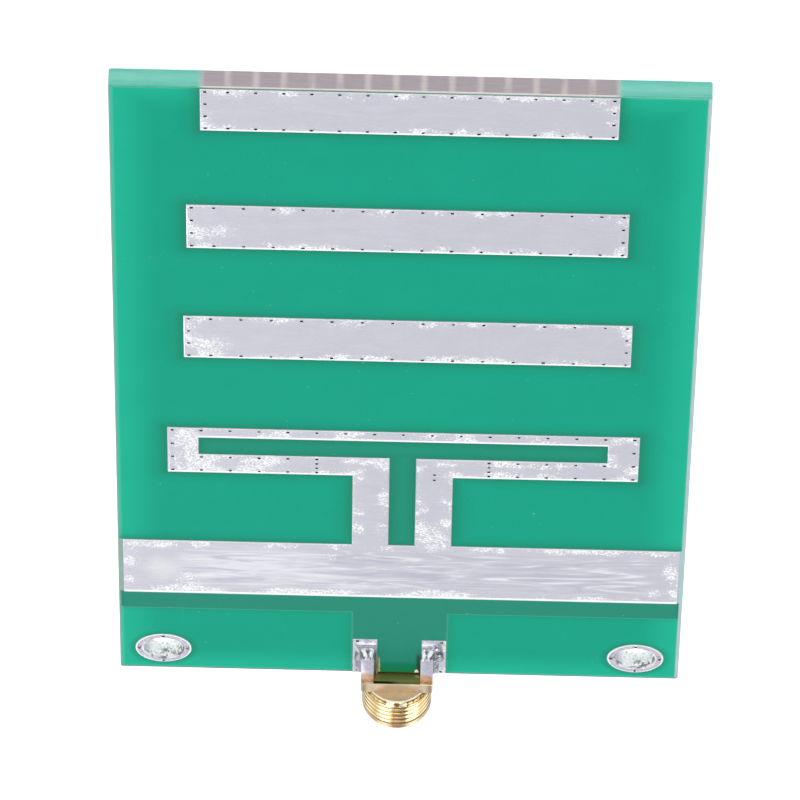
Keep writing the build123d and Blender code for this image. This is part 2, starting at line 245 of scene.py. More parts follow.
def baked(piece):
    """Replaces a piece's mesh by what its modifiers make of it."""
    graph = bpy.context.evaluated_depsgraph_get()
    mesh = bpy.data.meshes.new_from_object(piece.evaluated_get(graph))
    piece.modifiers.clear()
    piece.data = mesh
    return piece


# Helpers for node trees

def linear(red, green, blue):
    """A colour measured on a 0 to 255 screen scale, as the linear colour that shaders use."""
    def channel(value):
        value /= 255
        return value / 12.92 if value <= 0.04045 else ((value + 0.055) / 1.055) ** 2.4
    return (channel(red), channel(green), channel(blue), 1.0)


class Wiring:
    """Adds nodes to one tree and joins them by their sockets."""

    def __init__(self, tree):
        self.tree = tree

    def feed(self, socket, value):
        """Links a socket to another one or to a node's first output, or sets its value."""
        if isinstance(value, bpy.types.Node):
            value = value.outputs[0]
        if isinstance(value, bpy.types.NodeSocket):
            self.tree.links.new(value, socket)
        elif value is not None:
            socket.default_value = value

    def fill(self, sockets, values):
        for key, value in values.items():
            self.feed(sockets[key], value)

    def add(self, kind, values=None, **settings):
        node = self.tree.nodes.new(kind)
        for name, value in settings.items():
            setattr(node, name, value)
        self.fill(node.inputs, values or {})
        return node

    def math(self, operation, first, second=None):
        return self.add("ShaderNodeMath", {0: first, 1: second}, operation=operation).outputs[0]

    def chain(self, operation, values):
        """Takes values together from left to right by one operation."""
        result = values[0]
        for value in values[1:]:
            result = self.math(operation, result, value)
        return result

    def plus(self, *values):
        return self.chain("ADD", values)

    def minus(self, *values):
        return self.chain("SUBTRACT", values)

    def times(self, *values):
        return self.chain("MULTIPLY", values)

    def largest(self, *values):
        return self.chain("MAXIMUM", values)

    def smallest(self, *values):
        return self.chain("MINIMUM", values)

    def apart(self, value, place):
        return self.math("ABSOLUTE", self.minus(value, place))

    def diagonal(self, across, along):
        return self.math("SQRT", self.plus(self.times(across, across), self.times(along, along)))

    def ramp(self, value, low, high, out_low=0.0, out_high=1.0, smooth=True):
        kind = "SMOOTHSTEP" if smooth else "LINEAR"
        values = {"Value": value, "From Min": low, "From Max": high, "To Min": out_low, "To Max": out_high}
        return self.add("ShaderNodeMapRange", values, interpolation_type=kind).outputs[0]

    def near(self, value, place, outside, inside, *outputs):
        """A mask round a place on a line: nothing outside one distance from it, one inside the other."""
        return self.ramp(self.apart(value, place), outside, inside, *outputs)

    def mix(self, factor, first, second):
        return self.add("ShaderNodeMix", {0: factor, 6: first, 7: second}, data_type="RGBA").outputs[2]

    def tint(self, colour, shade, mask, strength=None):
        """A colour with a shade, measured on the screen scale, laid over it where a mask says."""
        factor = mask if strength is None else self.times(mask, strength)
        return self.mix(factor, colour, linear(*shade))

    def noise(self, vector, scale, detail=3.0, roughness=0.55, distortion=0.0):
        return self.add("ShaderNodeTexNoise", {
            "Vector": vector, "Scale": scale, "Detail": detail, "Roughness": roughness,
            "Distortion": distortion,
        }).outputs["Fac"]

    def wandering(self, vector, scale, low, high):
        """A value that drifts softly between two others."""
        return self.ramp(self.noise(vector, scale), 0.3, 0.7, low, high)

    def uneven(self, vector, scale, width, detail=3.0):
        """Soft noise about zero, as wide as given, that bends a straight outline."""
        return self.times(self.minus(self.noise(vector, scale, detail=detail), 0.5), width)

    def stretched(self, vector, scale=(1, 1, 1), location=(0, 0, 0)):
        values = {"Vector": vector, "Scale": scale, "Location": location}
        return self.add("ShaderNodeMapping", values).outputs[0]

    def scaled(self, vector, factor):
        return self.add("ShaderNodeVectorMath", {0: vector, "Scale": factor}, operation="SCALE").outputs[0]

    def xyz(self, vector):
        return self.add("ShaderNodeSeparateXYZ", {"Vector": vector}).outputs

    def group(self, tree, **values):
        named = {key.replace("_", " ").title(): value for key, value in values.items()}
        return self.add("ShaderNodeGroup", named, node_tree=tree)


FLOAT, INTEGER, VECTOR = "NodeSocketFloat", "NodeSocketInt", "NodeSocketVector"
COLOUR, GEOMETRY, MATERIAL = "NodeSocketColor", "NodeSocketGeometry", "NodeSocketMaterial"


def empty_tree(name, inputs, outputs, kind="ShaderNodeTree"):
    """A node tree with the sockets named for each kind, its wiring, and the sockets of its two end nodes."""
    tree = bpy.data.node_groups.new(name, kind)
    for in_out, named in (("INPUT", inputs), ("OUTPUT", outputs)):
        for socket_type, labels in named.items():
            for label in labels.split(", "):
                tree.interface.new_socket(label, in_out=in_out, socket_type=socket_type)
    w = Wiring(tree)
    return tree, w, w.add("NodeGroupInput").outputs, w.add("NodeGroupOutput").inputs


def make_strip_distance():
    """Signed distance across the board to a rectangle's outline, negative inside it."""
    inputs = {VECTOR: "Vector", FLOAT: "Centre X, Centre Y, Half Width, Half Height"}
    tree, w, given, out = empty_tree("strip distance", inputs, {FLOAT: "Distance"})
    x, y, _ = w.xyz(given["Vector"])
    past_x = w.minus(w.apart(x, given["Centre X"]), given["Half Width"])
    past_y = w.minus(w.apart(y, given["Centre Y"]), given["Half Height"])
    outside = w.diagonal(w.largest(past_x, 0.0), w.largest(past_y, 0.0))
    inside = w.smallest(w.largest(past_x, past_y), 0.0)
    w.feed(out["Distance"], w.plus(outside, inside))
    return tree


def make_frost():
    """Specks of painted sparkle, as on tin that has frozen in fine grains: their share of the surface follows
    Density.
    """
    tree, w, given, out = empty_tree("frost_sparkle", {VECTOR: "Vector", FLOAT: "Grain, Density"}, {FLOAT: "Mask"})
    fine = w.noise(given["Vector"], given["Grain"], detail=2.0, roughness=0.75)
    edge = w.minus(0.76, w.times(given["Density"], 0.28))
    w.feed(out["Mask"], w.ramp(fine, edge, w.plus(edge, 0.04)))
    return tree


def make_spot():
    """A soft oval patch, one in its middle and nothing outside its edge."""
    inputs = {VECTOR: "Vector", FLOAT: "Place X, Place Y, Reach X, Reach Y"}
    tree, w, given, out = empty_tree("spot", inputs, {FLOAT: "Mask"})
    x, y, _ = w.xyz(given["Vector"])
    across = w.math("DIVIDE", w.minus(x, given["Place X"]), given["Reach X"])
    along = w.math("DIVIDE", w.minus(y, given["Place Y"]), given["Reach Y"])
    w.feed(out["Mask"], w.ramp(w.diagonal(across, along), 1.0, 0.15))
    return tree


def make_streaks():
    """Long soft ripples along the board's width, as a hot blast leaves them in molten tin."""
    inputs = {VECTOR: "Vector", FLOAT: "Length, Width, Waviness"}
    tree, w, given, out = empty_tree("streaks", inputs, {FLOAT: "Ripple"})
    stretch = w.add("ShaderNodeCombineXYZ", {"X": given["Length"], "Y": given["Width"], "Z": 1.0})
    drawn_out = w.stretched(given["Vector"], stretch)
    w.feed(out["Ripple"], w.noise(drawn_out, 1.0, detail=2.5, roughness=0.5, distortion=given["Waviness"]))
    return tree


def make_mottle():
    """A colour made a little lighter and darker by soft noise, with a finer grain on top."""
    inputs = {VECTOR: "Vector", COLOUR: "Colour", FLOAT: "Size, Amount, Grain, Grain Amount"}
    tree, w, given, out = empty_tree("mottle", inputs, {COLOUR: "Colour", FLOAT: "Height"})
    vector = given["Vector"]
    soft = w.minus(w.noise(vector, given["Size"]), 0.5)
    fine = w.minus(w.noise(vector, given["Grain"], detail=1.0), 0.5)
    gain = w.plus(w.times(soft, given["Amount"]), w.times(fine, given["Grain Amount"]))
    gain = w.plus(w.times(gain, 2.0), 1.0)
    w.feed(out["Colour"], w.scaled(given["Colour"], gain))
    w.feed(out["Height"], fine)
    return tree


strip_distance = make_strip_distance()
frost_sparkle = make_frost()
spot = make_spot()
streaks = make_streaks()
mottle = make_mottle()


def material(name):
    """A new material, its wiring, its shader's sockets and coordinates in millimetres from the jack edge."""
    made = bpy.data.materials.new(name)
    made.use_nodes = True
    w = Wiring(made.node_tree)
    surface = made.node_tree.nodes["Principled BSDF"].inputs
    coordinates = w.add("ShaderNodeTexCoord").outputs["Object"]
    vector = w.stretched(coordinates, (1 / MM, 1 / MM, 1 / MM), (0, -edge_y / MM, -front_level / MM))
    return made, w, surface, vector


def bump(w, height, distance):
    """A normal from a height, where one stands for the given distance in millimetres."""
    return w.add("ShaderNodeBump", {"Height": height, "Distance": distance * MM, "Strength": 1.0}).outputs[0]


def mottled(w, vector, colour, size, amount, grain, grain_amount):
    """A colour made uneven by soft and by fine noise, and the height of the fine one."""
    return w.group(mottle, vector=vector, colour=colour, size=size, amount=amount, grain=grain,
                   grain_amount=grain_amount).outputs


def patch(w, vector, place):
    """The mask of a soft oval patch, given by its middle and its reach."""
    place_x, place_y, reach_x, reach_y = place
    values = {"place_x": place_x, "place_y": place_y, "reach_x": reach_x, "reach_y": reach_y}
    return w.group(spot, vector=vector, **values).outputs[0]


def strip(left, right, near, far):
    """Centre and half sizes of a rectangle on the board, given by its sides."""
    return {
        "centre_x": (left + right) / 2, "centre_y": (near + far) / 2,
        "half_width": (right - left) / 2, "half_height": (far - near) / 2,
    }


def strip_of(node):
    """The same four values for the outline of a CAD node."""
    low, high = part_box(node)
    return strip(low.x / MM, high.x / MM, (low.y - edge_y) / MM, (high.y - edge_y) / MM)


def nearest(w, vector, strips):
    """Distance to the nearest of several rectangles."""
    return w.smallest(*(w.group(strip_distance, vector=vector, **values).outputs[0] for values in strips))


director_strips = [strip_of(f"director_{number}_front") for number in (1, 2, 3)]
dipole_strip = strip_of("rear_dipole")
copper_low, copper_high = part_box("front_dipole")
copper_left, copper_right = copper_low.x / MM, copper_high.x / MM
reflector_strip = strip(copper_left, copper_right, REFLECTOR_START, LINE_START)
line_strip = strip(ARTWORK_SHIFT - LINE_OUTER_HALF_WIDTH, ARTWORK_SHIFT + LINE_OUTER_HALF_WIDTH,
                   LINE_START - OVERLAP, SLOT_START)
gap_strip = strip(ARTWORK_SHIFT - LINE_GAP_HALF_WIDTH, ARTWORK_SHIFT + LINE_GAP_HALF_WIDTH,
                  LINE_START, SLOT_START + OVERLAP)
slot_strip = strip(ARTWORK_SHIFT - SLOT_HALF_SPAN, ARTWORK_SHIFT + SLOT_HALF_SPAN, SLOT_START, SLOT_END)
column_strip = strip(ARTWORK_SHIFT - COLUMN_HALF_WIDTH, ARTWORK_SHIFT + COLUMN_HALF_WIDTH, 0, REFLECTOR_START)
ground_strip = strip(copper_left - GROUND_MARGIN, copper_right + GROUND_MARGIN,
                     GROUND_START, REFLECTOR_START)
board_strip = strip(-board_width / 2, board_width / 2, 0, board_length)


def make_bare_copper():
    """Signed distances, negative inside, to the outlines of bare copper, covered copper and the board."""
    tree, w, given, out = empty_tree("bare copper", {VECTOR: "Vector"}, {FLOAT: "Distance, Covered, Board"})
    vector = given["Vector"]
    solid = nearest(w, vector, [*director_strips, dipole_strip, reflector_strip, line_strip])
    hole = nearest(w, vector, [gap_strip, slot_strip])
    w.feed(out["Distance"], w.largest(solid, w.times(hole, -1.0)))
    w.feed(out["Covered"], nearest(w, vector, [column_strip, ground_strip]))
    w.feed(out["Board"], w.group(strip_distance, vector=vector, **board_strip).outputs[0])
    return tree


bare_copper = make_bare_copper()


def make_green_mask():
    """Satin green coat, with painted light paler towards the board's edges and painted shade beside and over
    copper.
    """
    made, w, surface, vector = material("green_mask")
    x, y, _ = w.xyz(vector)
    artwork = w.group(bare_copper, vector=vector).outputs
    painted_shade_green = (22, 120, 94)
    # Painted light: the coat is paler towards the board's edges, where light comes through them
    colour = w.tint(linear(3, 159, 130), (18, 177, 144), w.ramp(artwork["Board"], -4.2, -0.3))
    colour = w.tint(colour, (112, 200, 178), w.ramp(artwork["Board"], -0.5, -0.25, 0.0, 0.35))
    # Painted shade beside copper, in the dipole's slot, round the mounting holes and near covered copper,
    # where copper keeps back the light that comes through the board
    slot = nearest(w, vector, [gap_strip, slot_strip])
    colour = w.tint(colour, (24, 146, 120), w.ramp(slot, 0.1, -0.1))
    wide_shade = w.ramp(artwork["Distance"], 2.2, 0.1, 0.0, 0.3, smooth=False)
    tight_shade = w.ramp(artwork["Distance"], 1.0, 0.0, 0.0, 0.36, smooth=False)
    colour = w.tint(colour, painted_shade_green, w.plus(wide_shade, tight_shade))
    for centre in (-HOLE_OFFSET, HOLE_OFFSET):
        far = w.diagonal(w.minus(x, ARTWORK_SHIFT + centre), w.minus(y, HOLE_EDGE_INSET))
        colour = w.tint(colour, painted_shade_green, w.ramp(far, HOLE_PAD_RADIUS + 0.9, HOLE_PAD_RADIUS + 0.05), 0.5)
    colour = w.tint(colour, painted_shade_green, w.ramp(artwork["Covered"], 1.1, 0.1), 0.16)

    from_jack = w.minus(x, jack_x / MM)
    between_legs = w.near(from_jack, 0.0, 2.2, 2.0)
    # Over copper the coat is darker, partly its own colour there and partly painted shade; between the legs it
    # takes the painted reflection of the gilt flange and painted shade
    covered = w.tint(linear(34, 138, 116), (16, 132, 88), w.times(w.ramp(y, 2.3, 1.5), between_legs), 0.8)
    covered = w.tint(covered, (28, 134, 66), w.times(w.ramp(y, 0.9, 0.1), between_legs))
    colour = w.mix(w.ramp(artwork["Covered"], 0.03, -0.03), colour, covered)
    # A painted highlight along the covered copper's raised outline
    colour = w.tint(colour, (90, 172, 150), w.near(artwork["Covered"], 0.0, 0.14, 0.03), 0.4)

    from_jack = w.plus(from_jack, w.uneven(vector, 1.8, 0.5))
    # Resin beside the legs, with painted shade and the painted reflection of the gilt legs
    for shade, place, outside, inside, end, full, strength in RESIN_AND_SHADE_LINES:
        line = w.times(w.near(from_jack, place, outside, inside), w.ramp(y, end, full))
        colour = w.tint(colour, shade, line, strength)
    colour = w.tint(colour, (250, 250, 250), w.ramp(patch(w, vector, DROPLET), 0.2, 0.45))
    soft = mottled(w, vector, colour, 0.16, 0.05, 5.0, 0.06)
    dust = w.ramp(w.noise(vector, 3.4, detail=1.0), 0.795, 0.82)
    w.fill(surface, {
        "Base Color": w.tint(soft["Colour"], (170, 224, 200), dust, 0.7),
        "Roughness": w.wandering(vector, 0.7, 0.3, 0.42),
        "Specular IOR Level": 0.035,
        "Normal": bump(w, soft["Height"], 0.004),
    })
    return made


def make_laminate():
    """Pale woven glass board: whitish along the middle of its thickness, brown-grey in front of copper."""
    made, w, surface, vector = material("laminate")
    x, y, z = w.xyz(vector)
    colour = w.tint(linear(98, 181, 166), (112, 191, 174), w.near(z, -board_thickness / 2, 0.65, 0.1))

    # The far end, where the third director lies behind the edge
    third = director_strips[-1]
    across = w.minus(x, third["centre_x"])
    behind = w.near(across, 0.0, third["half_width"] + 0.4, third["half_width"] - 0.5)
    pitch = 2 * (third["half_width"] - VIA_ROW_INSET) / VIA_ROW_STEPS
    by_via = w.near(w.math("FRACT", w.math("DIVIDE", across, pitch)), 0.5, 0.2, 0.02)
    glass = w.noise(w.stretched(vector, (0.9, 0.05, 0.3)), 1.0, detail=2.0)
    streak = w.times(by_via, w.ramp(glass, 0.3, 0.55, 0.3, 1.0))
    brown = w.tint(linear(157, 147, 153), (186, 175, 176), streak)
    colour = w.mix(w.times(behind, w.ramp(y, board_length - 0.8, board_length - 0.4)), colour, brown)

    # The shelf that the mask leaves free round the board, and the long sides, the left one darker by painted
    # shade
    shelf = w.ramp(z, -0.1, -0.02)
    far_shelf = w.times(shelf, w.ramp(y, board_length - 0.5, board_length - 0.3))
    colour = w.mix(far_shelf, colour, w.tint(linear(66, 184, 156), (216, 208, 204), behind))
    side = w.tint(linear(142, 170, 158), (168, 196, 196), w.ramp(x, -1.0, 1.0))
    inland = w.ramp(y, board_length - 0.05, board_length - 0.25)
    on_side = w.ramp(w.apart(x, 0.0), board_width / 2 - 0.06, board_width / 2 - 0.02)
    colour = w.mix(w.largest(on_side, w.times(shelf, inland)), colour, side)

    # Painted shade on the board's edge at the jack
    colour = w.tint(colour, (60, 84, 66), w.ramp(y, 0.35, 0.05), 0.75)
    layers = w.noise(w.stretched(vector, (0.4, 0.4, 9.0)), 1.0, detail=2.0)
    soft = mottled(w, vector, colour, 0.5, 0.05, 7.0, 0.05)
    w.fill(surface, {
        "Base Color": w.tint(soft["Colour"], (235, 240, 232), w.ramp(layers, 0.4, 0.62, 0.0, 0.05)),
        "Roughness": 0.7,
        "Specular IOR Level": 0.1,
        "Normal": bump(w, layers, 0.02),
    })
    return made


def make_tin():
    """Levelled tin on copper: pale lavender, painted sheen where the blast brushed the reflector, frosted with
    painted sparkle and painted highlights by its edges.
    """
    made, w, surface, vector = material("tinned_copper")
    x, y, _ = w.xyz(vector)
    outline = w.group(bare_copper, vector=vector).outputs["Distance"]
    reflector = w.group(strip_distance, vector=vector, **reflector_strip).outputs[0]
    ripple = w.group(streaks, vector=vector, length=0.14, width=0.8, waviness=2.0).outputs[0]
    # Painted sheen, lighter and darker, along the ripples that the blast left
    ripple_sheen = w.times(w.ramp(reflector, -0.5, -2.4), w.ramp(x, *RIPPLE_SHEEN_FROM), w.ramp(x, *RIPPLE_SHEEN_TO))
    ripple_sheen = w.plus(w.times(ripple_sheen, 0.85), 0.15)
    colour = w.tint(linear(209, 209, 220), (248, 248, 253), w.times(ripple_sheen, w.ramp(ripple, 0.48, 0.7)))
    colour = w.tint(colour, (194, 193, 208), w.times(ripple_sheen, w.ramp(ripple, 0.48, 0.3)))
    sheen_lines = w.times(patch(w, vector, SHEEN_PATCH), w.ramp(ripple, 0.36, 0.5, 0.15, 0.75))
    colour = w.tint(colour, (242, 242, 248), sheen_lines)
    colour = w.tint(colour, (232, 233, 232), patch(w, vector, CALM_PATCH), 0.7)
    soft = mottled(w, vector, colour, 0.35, 0.05, 7.0, 0.05)

    near_edge = w.ramp(outline, -1.9, -0.35)
    moved = w.stretched(vector, location=(13.1, 4.7, 0))
    clouds = w.ramp(w.noise(moved, 0.3, detail=4.0, roughness=0.6), 0.44, 0.68)
    density = w.times(w.plus(w.times(near_edge, 0.7), 0.32), clouds)
    density = w.plus(density, w.times(near_edge, 0.42))
    inset, offset, *reach = BAR_END_PATCH
    bar_ends = [(bar["centre_x"] - bar["half_width"] + inset, bar["centre_y"] + offset, *reach)
                for bar in director_strips[:2]]
    for place in (*FROSTED_PATCHES, *bar_ends):
        density = w.plus(density, w.times(patch(w, vector, place), 0.75))
    specks = w.group(frost_sparkle, vector=vector, grain=6.5, density=w.smallest(density, 1.0)).outputs["Mask"]
    colour = w.tint(soft["Colour"], (255, 255, 255), specks)

    # Painted highlights on the rolls of tin along the outline, laid where the outline of a shifted copy falls
    # short
    ragged = w.uneven(vector, 2.5, 0.12, detail=2.0)
    shifted = (w.stretched(vector, location=(0, shift, 0)) for shift in (-LOWER_ROLL, UPPER_ROLL))
    near_jack, far_side = (
        w.plus(w.group(bare_copper, vector=moved).outputs["Distance"], ragged) for moved in shifted)
    on_copper = w.ramp(outline, 0.1, 0.0)
    lower_edge_highlight = w.times(w.ramp(near_jack, -0.06, 0.06), on_copper)
    upper_edge_highlight = w.times(w.ramp(far_side, -0.05, 0.05), w.times(on_copper, 0.65))
    colour = w.tint(colour, (236, 236, 238), upper_edge_highlight)
    colour = w.tint(colour, (255, 255, 255), lower_edge_highlight)
    # Painted shade on the tin beside the flange, at the board's edge between the legs
    gap_shade = w.times(w.ramp(y, 0.3, 0.22), w.near(x, 0.0, 2.0, 1.9))
    whitened = w.largest(specks, gap_shade, w.largest(lower_edge_highlight, upper_edge_highlight))
    w.fill(surface, {
        "Base Color": w.tint(colour, (34, 52, 30), gap_shade),
        "Metallic": w.minus(0.8, w.times(whitened, 0.75)),
        "Roughness": w.ramp(ripple, 0.3, 0.7, 0.4, 0.28),
        "Normal": bump(w, soft["Height"], 0.008),
    })
    return made


def make_plating():
    """Tin over the copper of a drilled hole: white and frosty with painted sparkle, grey-green hollows low
    down in it, painted shade on one side of the wall, and painted highlights and shade on the rims.
    """
    made, w, surface, vector = material("hole_plating")
    x, y, z = w.xyz(vector)
    along = w.minus(x, w.plus(w.times(w.math("SIGN", x), HOLE_OFFSET), ARTWORK_SHIFT))
    grains = w.noise(vector, 2.6, detail=4.0, roughness=0.75)
    sparkle = w.noise(vector, 4.2, detail=3.0, roughness=0.7)

    deep = w.ramp(z, -0.1, -0.16)
    low_down = w.times(w.ramp(z, -1.25, -0.8), w.ramp(along, -0.5, 0.1))
    hollows = w.times(w.ramp(grains, 0.49, 0.54), w.times(deep, low_down))
    wall = w.tint(linear(236, 236, 240), (255, 255, 255), w.ramp(sparkle, 0.44, 0.52))
    wall = w.tint(wall, (140, 140, 144), w.ramp(sparkle, 0.4, 0.35))
    # Painted shade on one side of the wall
    wall = w.tint(wall, (184, 186, 200), w.ramp(along, -0.9, -1.6), 0.7)
    wall = w.mix(hollows, wall, w.tint(linear(116, 130, 116), (172, 182, 176), w.ramp(sparkle, 0.45, 0.55)))
    near_top = w.times(w.ramp(z, -0.34, -0.2), w.ramp(w.noise(vector, 1.3), 0.46, 0.56))
    wall = w.tint(wall, (92, 84, 84), near_top, 0.8)

    face = mottled(w, vector, linear(188, 185, 198), 0.9, 0.2, 6.0, 0.18)["Colour"]
    far = w.diagonal(along, w.minus(y, HOLE_EDGE_INSET))
    outer = w.ramp(far, HOLE_PAD_RADIUS - 0.17, HOLE_PAD_RADIUS - 0.08)
    inner = w.ramp(far, HOLE_RADIUS + 0.14, HOLE_RADIUS + 0.06)
    by_turns = w.noise(vector, 1.1)
    # Painted shade in arcs along the inner rim, and painted highlights along the inner and the outer rim
    face = w.tint(face, (112, 104, 108), w.times(inner, w.ramp(by_turns, 0.5, 0.42, 0.0, 0.7)))
    inner = w.times(inner, w.ramp(by_turns, 0.46, 0.55))
    rim_highlight = w.largest(w.times(outer, 0.9), w.times(inner, 0.7))
    face = w.tint(face, (255, 255, 255), rim_highlight)
    w.fill(surface, {
        "Base Color": w.mix(deep, face, wall),
        "Metallic": w.minus(0.8, w.times(w.largest(hollows, rim_highlight, deep), 0.6)),
        "Roughness": w.ramp(grains, 0.3, 0.7, 0.3, 0.5),
        "Normal": bump(w, grains, 0.09),
    })
    return made


def make_via_shade():
    """The bottom of a via in painted shade, uneven in tone."""
    made, w, surface, vector = material("via_shade")
    w.fill(surface, {
        "Base Color": mottled(w, vector, linear(34, 28, 34), 0.9, 0.3, 9.0, 0.2)["Colour"],
        "Roughness": w.wandering(vector, 4.0, 0.6, 0.8),
        "Specular IOR Level": 0.1,
    })
    return made


def make_gold():
    """Gilt brass: satin on the flange, bright on the thread, brown by the legs' roots, tinned along them; with
    painted shade in the grooves and at the sides, painted highlights and a painted reflection of the board.
    """
    made, w, surface, vector = material("gold_plate")
    x, y, z = w.xyz(vector)
    from_jack = w.minus(x, jack_x / MM)
    aside = w.apart(x, jack_x / MM)
    crest_radius = axis_z / MM
    front, start = -FLANGE, -FLANGE - NECK_LENGTH  # of the flange and of the thread's first turn

    barrel = w.ramp(y, front - 0.1, front - 0.7)
    plate = w.tint(linear(230, 211, 182), (230, 204, 146), barrel)
    gold = mottled(w, vector, plate, 0.8, 0.04, 9.0, 0.03)["Colour"]
    gold = w.tint(gold, (200, 160, 108), w.ramp(w.noise(vector, 1.3), 0.5, 0.75, 0.0, 0.25))
    rim = w.ramp(y, front - THREAD_END + 0.1, front - THREAD_END - 0.2)
    gold = w.tint(gold, (166, 138, 104), rim, 0.85)

    # Painted shade in the grooves, darkest along the middle of what the camera sees and at the sides
    threaded = w.ramp(y, start - 0.3, start - 0.45)
    radius = w.diagonal(aside, w.plus(z, board_thickness / 2))
    groove = w.times(w.ramp(radius, crest_radius - 0.02, crest_radius - 0.14), threaded)
    middle = jack_x / MM + SHADE_BAND_OFFSET
    depth = w.largest(w.near(x, middle, 0.85, 0.5, 0.12, 0.92), w.ramp(aside, 1.5, 2.2, 0.0, 0.7))
    gold = w.tint(gold, (122, 82, 34), w.times(groove, depth))
    # A painted highlight on the neck
    neck = w.times(w.ramp(y, front - 0.05, front - 0.1), w.ramp(y, start + 0.02, start + 0.12))
    gold = w.tint(gold, (255, 246, 226), neck)
    # Painted shade along the middle of the thread
    gold = w.tint(gold, (150, 112, 66), w.times(w.near(x, middle, 0.8, 0.5), threaded), 0.4)
    # Painted shade towards the flange's ends and the barrel's sides
    on_flange = w.times(w.ramp(y, front - 0.1, front), w.ramp(y, 0.0, -0.1))
    gold = w.tint(gold, (158, 130, 108), w.times(w.ramp(aside, 1.4, 2.7), on_flange), 0.35)
    gold = w.tint(gold, (118, 100, 58), w.ramp(aside, 2.5, 3.12), 0.8)

    # The first turn, brown in patches, with painted highlights as bright spots
    lead_in = w.times(w.ramp(y, start + 0.12, start + 0.02), w.ramp(y, start - 0.42, start - 0.3))
    patchy = w.ramp(w.noise(vector, 3.2, detail=2.0), 0.42, 0.56, 0.35, 0.95)
    brown = w.times(patchy, w.ramp(from_jack, -1.6, -0.8, 0.5, 1.0))
    gold = w.tint(gold, (128, 92, 40), w.times(lead_in, brown))
    nearest_glint = w.smallest(*(w.apart(from_jack, place) for place in GLINTS))
    glint = w.times(w.ramp(nearest_glint, 0.42, 0.26), w.ramp(z, 0.2, 0.8))
    gold = w.tint(gold, (255, 244, 210), w.times(lead_in, glint))

    # Legs, and the flange's rear with its edges: the painted reflection of the green board on the rear face,
    # and painted shade and a painted highlight along its top
    on_legs = w.ramp(y, -0.02, 0.25)
    root = w.times(w.ramp(w.noise(vector, 2.6, detail=2.0), 0.4, 0.52), w.ramp(y, 1.0, 0.3))
    root = w.largest(root, w.ramp(y, 0.6, 0.2, 0.0, 0.8))
    gold = w.tint(gold, (204, 162, 122), on_legs, 0.8)
    gold = w.tint(gold, (158, 92, 20), w.times(root, on_legs, 0.9))
    back = w.near(y, -FLANGE_GAP, 0.04, 0.015)
    gold = w.tint(gold, (172, 152, 66), back, 0.8)
    edge_shade = w.times(back, w.ramp(z, FLANGE_TOP - 0.22, FLANGE_TOP - 0.1),
                        w.ramp(from_jack, 0.4, -0.8, 0.45, 1.0))
    gold = w.tint(gold, (40, 42, 10), edge_shade)
    edge_highlight = w.times(w.ramp(y, -FLANGE_GAP - 0.24, -FLANGE_GAP - 0.16),
                   w.ramp(y, -FLANGE_GAP - 0.01, -FLANGE_GAP - 0.05),
                   w.ramp(z, FLANGE_TOP - 0.1, FLANGE_TOP - 0.04), w.ramp(from_jack, -1.0, 1.5, 0.3, 0.75))
    gold = w.tint(gold, (255, 240, 200), edge_highlight)

    tinned = w.ramp(w.plus(y, w.uneven(vector, 1.8, 1.6)), TINNED_FROM - 0.25, TINNED_FROM + 0.2)
    tin_shade = mottled(w, vector, linear(200, 198, 213), 1.6, 0.25, 5.0, 0.3)["Colour"]
    not_metal = w.plus(w.times(edge_highlight, 0.5), w.times(neck, 0.45))
    rough = w.minus(0.44, w.times(barrel, 0.24))
    rough = w.plus(rough, w.times(w.largest(rim, neck), 0.18))
    rough = w.minus(rough, w.times(back, 0.2))
    turned = w.noise(w.stretched(vector, (0.3, 14.0, 0.3)), 1.0, detail=1.0)
    w.fill(surface, {
        "Base Color": w.mix(tinned, gold, tin_shade),
        "Metallic": w.minus(w.minus(1.0, w.times(back, 0.3)), not_metal),
        "Roughness": w.plus(rough, w.wandering(vector, 2.2, -0.03, 0.03)),
        "Normal": bump(w, turned, 0.0015),
    })
    return made


